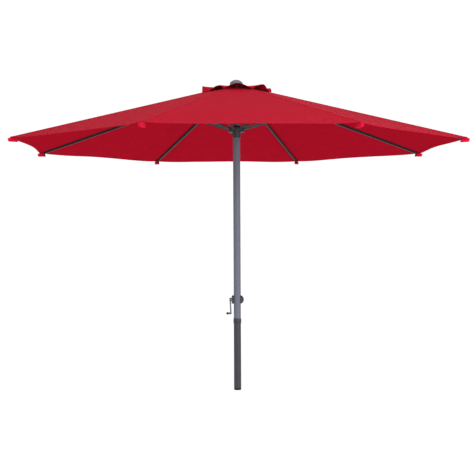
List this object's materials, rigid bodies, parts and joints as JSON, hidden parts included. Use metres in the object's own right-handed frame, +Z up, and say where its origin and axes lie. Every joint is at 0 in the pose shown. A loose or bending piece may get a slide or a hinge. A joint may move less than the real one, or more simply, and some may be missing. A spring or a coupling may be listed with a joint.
{
  "type": "patio umbrella",
  "caption": "Octagonal patio umbrella with a folding rib frame, vented canopy, crank lift and two-piece pole; no base.",
  "frame": {"origin": "centre of the pole's bottom face", "axes": "+Z up along the pole; the crank is on the -X side; +Y points away from the viewer of the reference view"},
  "size_m": [2.7796, 2.7796, 2.046],
  "materials": {
    "canopy_fabric": "matte",
    "frame_steel": "satin",
    "pole_paint": "satin",
    "dark_plastic": "matte",
    "black_plastic": "matte",
    "grey_plastic": "satin",
    "crank_paint": "satin",
    "knob_plastic": "satin",
    "bright_steel": "satin"
  },
  "bodies": {
    "lower_mast": {"lower_pole": "pole_paint", "pole_foot_cap": "black_plastic", "pole_collar": "dark_plastic"},
    "upper_mast": {"upper_pole": "pole_paint", "joint_sleeve": "pole_paint", "top_hub": "dark_plastic", "hub_pins": "bright_steel", "pulley_pin": "bright_steel", "finial": "grey_plastic", "canopy_crown": "canopy_fabric", "crank_housing_left": "dark_plastic", "crank_housing_right": "dark_plastic", "housing_screws": "bright_steel"},
    "pulley": {"cord_pulley": "dark_plastic"},
    "crank": {"crank_axle": "bright_steel", "cord_spool": "dark_plastic", "crank_arm": "crank_paint"},
    "knob": {"crank_knob": "knob_plastic"},
    "runner": {"runner": "dark_plastic", "runner_pins": "bright_steel"},
    "rib_1": {"rib_1": "frame_steel", "rib_pocket_1": "canopy_fabric"},
    "strut_1": {"strut_1": "frame_steel"},
    "gore_1_left": {"canopy_1_left": "canopy_fabric"},
    "gore_1_right": {"canopy_1_right": "canopy_fabric"},
    "rib_2": {"rib_2": "frame_steel", "rib_pocket_2": "canopy_fabric"},
    "strut_2": {"strut_2": "frame_steel"},
    "gore_2_left": {"canopy_2_left": "canopy_fabric"},
    "gore_2_right": {"canopy_2_right": "canopy_fabric"},
    "rib_3": {"rib_3": "frame_steel", "rib_pocket_3": "canopy_fabric"},
    "strut_3": {"strut_3": "frame_steel"},
    "gore_3_left": {"canopy_3_left": "canopy_fabric"},
    "gore_3_right": {"canopy_3_right": "canopy_fabric"},
    "rib_4": {"rib_4": "frame_steel", "rib_pocket_4": "canopy_fabric"},
    "strut_4": {"strut_4": "frame_steel"},
    "gore_4_left": {"canopy_4_left": "canopy_fabric"},
    "gore_4_right": {"canopy_4_right": "canopy_fabric"},
    "rib_5": {"rib_5": "frame_steel", "rib_pocket_5": "canopy_fabric"},
    "strut_5": {"strut_5": "frame_steel"},
    "gore_5_left": {"canopy_5_left": "canopy_fabric"},
    "gore_5_right": {"canopy_5_right": "canopy_fabric"},
    "rib_6": {"rib_6": "frame_steel", "rib_pocket_6": "canopy_fabric"},
    "strut_6": {"strut_6": "frame_steel"},
    "gore_6_left": {"canopy_6_left": "canopy_fabric"},
    "gore_6_right": {"canopy_6_right": "canopy_fabric"},
    "rib_7": {"rib_7": "frame_steel", "rib_pocket_7": "canopy_fabric"},
    "strut_7": {"strut_7": "frame_steel"},
    "gore_7_left": {"canopy_7_left": "canopy_fabric"},
    "gore_7_right": {"canopy_7_right": "canopy_fabric"},
    "rib_8": {"rib_8": "frame_steel", "rib_pocket_8": "canopy_fabric"},
    "strut_8": {"strut_8": "frame_steel"},
    "gore_8_left": {"canopy_8_left": "canopy_fabric"},
    "gore_8_right": {"canopy_8_right": "canopy_fabric"}
  },
  "joints": [
    {"name": "mast_lift", "type": "slide", "parent": "lower_mast", "child": "upper_mast", "axis": [0, 0, 1], "range_m": [0, 0.12]},
    {"name": "rib_1_fold", "type": "hinge", "parent": "upper_mast", "child": "rib_1", "pos_m": [0.01607, -0.0388, 1.99124], "axis": [0.9239, 0.3827, 0], "range_deg": [0, 69.3]},
    {"name": "strut_1_swing", "type": "hinge", "parent": "rib_1", "child": "strut_1", "pos_m": [0.192, -0.46354, 1.85323], "axis": [-0.9239, -0.3827, 0], "range_deg": [0, 138.6]},
    {"name": "gore_1_left_drape", "type": "hinge", "parent": "rib_1", "child": "gore_1_left", "pos_m": [0.01712, -0.04134, 2.00138], "axis": [0.3694, -0.8917, -0.2615], "range_deg": [0, 67.22]},
    {"name": "gore_1_right_drape", "type": "hinge", "parent": "rib_1", "child": "gore_1_right", "pos_m": [0.01712, -0.04134, 2.00138], "axis": [-0.3694, 0.8917, 0.2615], "range_deg": [0, 67.22]},
    {"name": "rib_2_fold", "type": "hinge", "parent": "upper_mast", "child": "rib_2", "pos_m": [0.0388, -0.01607, 1.99124], "axis": [0.3827, 0.9239, 0], "range_deg": [0, 69.3]},
    {"name": "strut_2_swing", "type": "hinge", "parent": "rib_2", "child": "strut_2", "pos_m": [0.46354, -0.192, 1.85323], "axis": [-0.3827, -0.9239, 0], "range_deg": [0, 138.6]},
    {"name": "gore_2_left_drape", "type": "hinge", "parent": "rib_2", "child": "gore_2_left", "pos_m": [0.04134, -0.01712, 2.00138], "axis": [0.8917, -0.3694, -0.2615], "range_deg": [0, 67.22]},
    {"name": "gore_2_right_drape", "type": "hinge", "parent": "rib_2", "child": "gore_2_right", "pos_m": [0.04134, -0.01712, 2.00138], "axis": [-0.8917, 0.3694, 0.2615], "range_deg": [0, 67.22]},
    {"name": "rib_3_fold", "type": "hinge", "parent": "upper_mast", "child": "rib_3", "pos_m": [0.0388, 0.01607, 1.99124], "axis": [-0.3827, 0.9239, 0], "range_deg": [0, 69.3]},
    {"name": "strut_3_swing", "type": "hinge", "parent": "rib_3", "child": "strut_3", "pos_m": [0.46354, 0.192, 1.85323], "axis": [0.3827, -0.9239, 0], "range_deg": [0, 138.6]},
    {"name": "gore_3_left_drape", "type": "hinge", "parent": "rib_3", "child": "gore_3_left", "pos_m": [0.04134, 0.01712, 2.00138], "axis": [0.8917, 0.3694, -0.2615], "range_deg": [0, 67.22]},
    {"name": "gore_3_right_drape", "type": "hinge", "parent": "rib_3", "child": "gore_3_right", "pos_m": [0.04134, 0.01712, 2.00138], "axis": [-0.8917, -0.3694, 0.2615], "range_deg": [0, 67.22]},
    {"name": "rib_4_fold", "type": "hinge", "parent": "upper_mast", "child": "rib_4", "pos_m": [0.01607, 0.0388, 1.99124], "axis": [-0.9239, 0.3827, 0], "range_deg": [0, 69.3]},
    {"name": "strut_4_swing", "type": "hinge", "parent": "rib_4", "child": "strut_4", "pos_m": [0.192, 0.46354, 1.85323], "axis": [0.9239, -0.3827, 0], "range_deg": [0, 138.6]},
    {"name": "gore_4_left_drape", "type": "hinge", "parent": "rib_4", "child": "gore_4_left", "pos_m": [0.01712, 0.04134, 2.00138], "axis": [0.3694, 0.8917, -0.2615], "range_deg": [0, 67.22]},
    {"name": "gore_4_right_drape", "type": "hinge", "parent": "rib_4", "child": "gore_4_right", "pos_m": [0.01712, 0.04134, 2.00138], "axis": [-0.3694, -0.8917, 0.2615], "range_deg": [0, 67.22]},
    {"name": "rib_5_fold", "type": "hinge", "parent": "upper_mast", "child": "rib_5", "pos_m": [-0.01607, 0.0388, 1.99124], "axis": [-0.9239, -0.3827, 0], "range_deg": [0, 69.3]},
    {"name": "strut_5_swing", "type": "hinge", "parent": "rib_5", "child": "strut_5", "pos_m": [-0.192, 0.46354, 1.85323], "axis": [0.9239, 0.3827, 0], "range_deg": [0, 138.6]},
    {"name": "gore_5_left_drape", "type": "hinge", "parent": "rib_5", "child": "gore_5_left", "pos_m": [-0.01712, 0.04134, 2.00138], "axis": [-0.3694, 0.8917, -0.2615], "range_deg": [0, 67.22]},
    {"name": "gore_5_right_drape", "type": "hinge", "parent": "rib_5", "child": "gore_5_right", "pos_m": [-0.01712, 0.04134, 2.00138], "axis": [0.3694, -0.8917, 0.2615], "range_deg": [0, 67.22]},
    {"name": "rib_6_fold", "type": "hinge", "parent": "upper_mast", "child": "rib_6", "pos_m": [-0.0388, 0.01607, 1.99124], "axis": [-0.3827, -0.9239, 0], "range_deg": [0, 69.3]},
    {"name": "strut_6_swing", "type": "hinge", "parent": "rib_6", "child": "strut_6", "pos_m": [-0.46354, 0.192, 1.85323], "axis": [0.3827, 0.9239, 0], "range_deg": [0, 138.6]},
    {"name": "gore_6_left_drape", "type": "hinge", "parent": "rib_6", "child": "gore_6_left", "pos_m": [-0.04134, 0.01712, 2.00138], "axis": [-0.8917, 0.3694, -0.2615], "range_deg": [0, 67.22]},
    {"name": "gore_6_right_drape", "type": "hinge", "parent": "rib_6", "child": "gore_6_right", "pos_m": [-0.04134, 0.01712, 2.00138], "axis": [0.8917, -0.3694, 0.2615], "range_deg": [0, 67.22]},
    {"name": "rib_7_fold", "type": "hinge", "parent": "upper_mast", "child": "rib_7", "pos_m": [-0.0388, -0.01607, 1.99124], "axis": [0.3827, -0.9239, 0], "range_deg": [0, 69.3]},
    {"name": "strut_7_swing", "type": "hinge", "parent": "rib_7", "child": "strut_7", "pos_m": [-0.46354, -0.192, 1.85323], "axis": [-0.3827, 0.9239, 0], "range_deg": [0, 138.6]},
    {"name": "gore_7_left_drape", "type": "hinge", "parent": "rib_7", "child": "gore_7_left", "pos_m": [-0.04134, -0.01712, 2.00138], "axis": [-0.8917, -0.3694, -0.2615], "range_deg": [0, 67.22]},
    {"name": "gore_7_right_drape", "type": "hinge", "parent": "rib_7", "child": "gore_7_right", "pos_m": [-0.04134, -0.01712, 2.00138], "axis": [0.8917, 0.3694, 0.2615], "range_deg": [0, 67.22]},
    {"name": "rib_8_fold", "type": "hinge", "parent": "upper_mast", "child": "rib_8", "pos_m": [-0.01607, -0.0388, 1.99124], "axis": [0.9239, -0.3827, 0], "range_deg": [0, 69.3]},
    {"name": "strut_8_swing", "type": "hinge", "parent": "rib_8", "child": "strut_8", "pos_m": [-0.192, -0.46354, 1.85323], "axis": [-0.9239, 0.3827, 0], "range_deg": [0, 138.6]},
    {"name": "gore_8_left_drape", "type": "hinge", "parent": "rib_8", "child": "gore_8_left", "pos_m": [-0.01712, -0.04134, 2.00138], "axis": [-0.3694, -0.8917, -0.2615], "range_deg": [0, 67.22]},
    {"name": "gore_8_right_drape", "type": "hinge", "parent": "rib_8", "child": "gore_8_right", "pos_m": [-0.01712, -0.04134, 2.00138], "axis": [0.3694, 0.8917, 0.2615], "range_deg": [0, 67.22]},
    {"name": "runner_slide", "type": "hinge", "parent": "strut_1", "child": "runner", "pos_m": [0.01607, -0.0388, 1.71522], "axis": [0.9239, 0.3827, 0], "range_deg": [0, 69.3]},
    {"name": "crank_turn", "type": "hinge", "parent": "upper_mast", "child": "crank", "pos_m": [0, 0, 0.596], "axis": [1, 0, 0], "range_deg": [0, 3222.45]},
    {"name": "knob_spin", "type": "hinge", "parent": "crank", "child": "knob", "pos_m": [-0.049, 0, 0.505], "axis": [1, 0, 0], "continuous": true},
    {"name": "pulley_turn", "type": "hinge", "parent": "upper_mast", "child": "pulley", "pos_m": [0, 0.014, 1.982], "axis": [1, 0, 0], "range_deg": [0, 2979.9]}
  ],
  "couplings": [
    {"joint": "strut_1_swing", "follows": "rib_1_fold", "ratio": 2},
    {"joint": "gore_1_left_drape", "follows": "rib_1_fold", "ratio": 0.97},
    {"joint": "gore_1_right_drape", "follows": "rib_1_fold", "ratio": 0.97},
    {"joint": "rib_2_fold", "follows": "rib_1_fold", "ratio": 1},
    {"joint": "strut_2_swing", "follows": "rib_1_fold", "ratio": 2},
    {"joint": "gore_2_left_drape", "follows": "rib_1_fold", "ratio": 0.97},
    {"joint": "gore_2_right_drape", "follows": "rib_1_fold", "ratio": 0.97},
    {"joint": "rib_3_fold", "follows": "rib_1_fold", "ratio": 1},
    {"joint": "strut_3_swing", "follows": "rib_1_fold", "ratio": 2},
    {"joint": "gore_3_left_drape", "follows": "rib_1_fold", "ratio": 0.97},
    {"joint": "gore_3_right_drape", "follows": "rib_1_fold", "ratio": 0.97},
    {"joint": "rib_4_fold", "follows": "rib_1_fold", "ratio": 1},
    {"joint": "strut_4_swing", "follows": "rib_1_fold", "ratio": 2},
    {"joint": "gore_4_left_drape", "follows": "rib_1_fold", "ratio": 0.97},
    {"joint": "gore_4_right_drape", "follows": "rib_1_fold", "ratio": 0.97},
    {"joint": "rib_5_fold", "follows": "rib_1_fold", "ratio": 1},
    {"joint": "strut_5_swing", "follows": "rib_1_fold", "ratio": 2},
    {"joint": "gore_5_left_drape", "follows": "rib_1_fold", "ratio": 0.97},
    {"joint": "gore_5_right_drape", "follows": "rib_1_fold", "ratio": 0.97},
    {"joint": "rib_6_fold", "follows": "rib_1_fold", "ratio": 1},
    {"joint": "strut_6_swing", "follows": "rib_1_fold", "ratio": 2},
    {"joint": "gore_6_left_drape", "follows": "rib_1_fold", "ratio": 0.97},
    {"joint": "gore_6_right_drape", "follows": "rib_1_fold", "ratio": 0.97},
    {"joint": "rib_7_fold", "follows": "rib_1_fold", "ratio": 1},
    {"joint": "strut_7_swing", "follows": "rib_1_fold", "ratio": 2},
    {"joint": "gore_7_left_drape", "follows": "rib_1_fold", "ratio": 0.97},
    {"joint": "gore_7_right_drape", "follows": "rib_1_fold", "ratio": 0.97},
    {"joint": "rib_8_fold", "follows": "rib_1_fold", "ratio": 1},
    {"joint": "strut_8_swing", "follows": "rib_1_fold", "ratio": 2},
    {"joint": "gore_8_left_drape", "follows": "rib_1_fold", "ratio": 0.97},
    {"joint": "gore_8_right_drape", "follows": "rib_1_fold", "ratio": 0.97},
    {"joint": "runner_slide", "follows": "rib_1_fold", "ratio": 1},
    {"joint": "crank_turn", "follows": "rib_1_fold", "ratio": 46.5},
    {"joint": "pulley_turn", "follows": "rib_1_fold", "ratio": 43}
  ]
}
